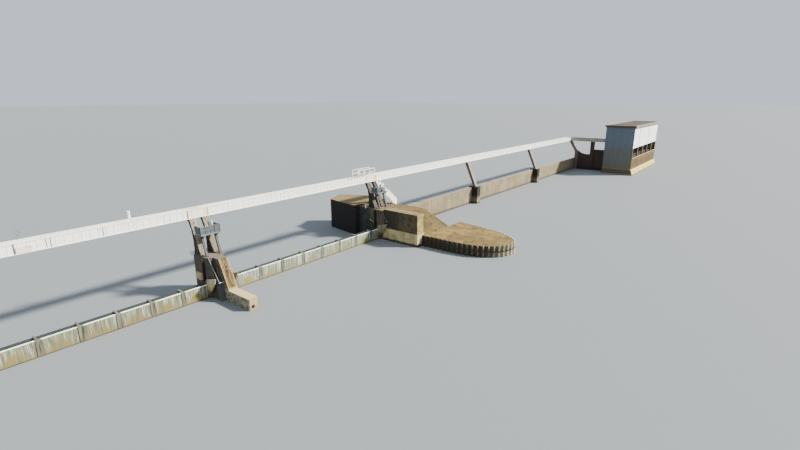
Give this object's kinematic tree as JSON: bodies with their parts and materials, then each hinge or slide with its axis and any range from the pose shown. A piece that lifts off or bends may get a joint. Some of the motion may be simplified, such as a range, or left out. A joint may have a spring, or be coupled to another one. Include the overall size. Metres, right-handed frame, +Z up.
{
  "type": "river barrage with footbridge and powerhouse, 1:10 scale model",
  "caption": "Overflow barrage with lift gates between piers, a long white footbridge on leaning legs, a sheet piled quay and a concrete powerhouse.",
  "frame": {"origin": "middle of the foot of the whole structure, at tail water level", "axes": "+X along the footbridge towards the powerhouse, +Y upstream, +Z up"},
  "size_m": [25.953, 4.7382, 2.005],
  "materials": {
    "grey_concrete": "weathered cast concrete",
    "dark_concrete": "damp stained concrete",
    "buff_concrete": "buff stained concrete",
    "pale_concrete": "pale panelled concrete",
    "white_paint": "white paint on plate steel",
    "grey_steel": "grey painted steel, dusty",
    "gate_steel": "streaked steel with algae and rust",
    "pile_steel": "weathered sheet piling"
  },
  "bodies": {
    "structure": {"access_stair": "white_paint", "deck_gantry": "grey_steel", "dyke_wall": "pale_concrete", "footbridge_pier_section_0": "white_paint", "footbridge_pier_section_1": "white_paint", "footbridge_pier_section_2": "white_paint", "footbridge_return_span": "white_paint", "footbridge_span_1": "white_paint", "footbridge_span_2": "white_paint", "footbridge_span_3": "white_paint", "footbridge_span_4": "white_paint", "footbridge_span_5": "white_paint", "intake_wall": "dark_concrete", "knee_leg": "grey_concrete", "leg_a": "grey_concrete", "leg_b": "grey_concrete", "nose_deck": "grey_concrete", "pier_0_body": "buff_concrete", "pier_0_hoist_platform": "grey_steel", "pier_0_platform_rail": "grey_steel", "pier_0_portal_frame": "grey_concrete", "pier_0_winch": "grey_steel", "pier_1_body": "buff_concrete", "pier_1_hoist_platform": "grey_steel", "pier_1_platform_rail": "grey_steel", "pier_1_portal_frame": "grey_concrete", "pier_1_winch": "grey_steel", "pier_2_body": "dark_concrete", "pier_2_hoist_platform": "grey_steel", "pier_2_platform_rail": "grey_steel", "pier_2_portal_frame": "grey_concrete", "pier_2_winch": "grey_steel", "powerhouse_base": "buff_concrete", "powerhouse_door": "grey_steel", "powerhouse_downstream_wall": "pale_concrete", "powerhouse_left_wall": "pale_concrete", "powerhouse_lower_floor": "grey_concrete", "powerhouse_right_wall": "pale_concrete", "powerhouse_roof": "grey_concrete", "powerhouse_upper_floor": "grey_concrete", "powerhouse_upstream_wall": "pale_concrete", "quay_wall": "dark_concrete", "quay_yard": "grey_concrete", "sheet_pile_wall": "pile_steel", "sill_1": "dark_concrete", "sill_2": "dark_concrete", "upstream_quay": "dark_concrete"},
    "gate_1": {"gate_1_leaf": "gate_steel"},
    "gate_2": {"gate_2_leaf": "gate_steel"}
  },
  "joints": [
    {"name": "gate_1_lift", "type": "slide", "parent": "structure", "child": "gate_1", "axis": [0, 0, 1], "range_m": [0, 0.36]},
    {"name": "gate_2_lift", "type": "slide", "parent": "structure", "child": "gate_2", "axis": [0, 0, 1], "range_m": [0, 0.36]}
  ]
}
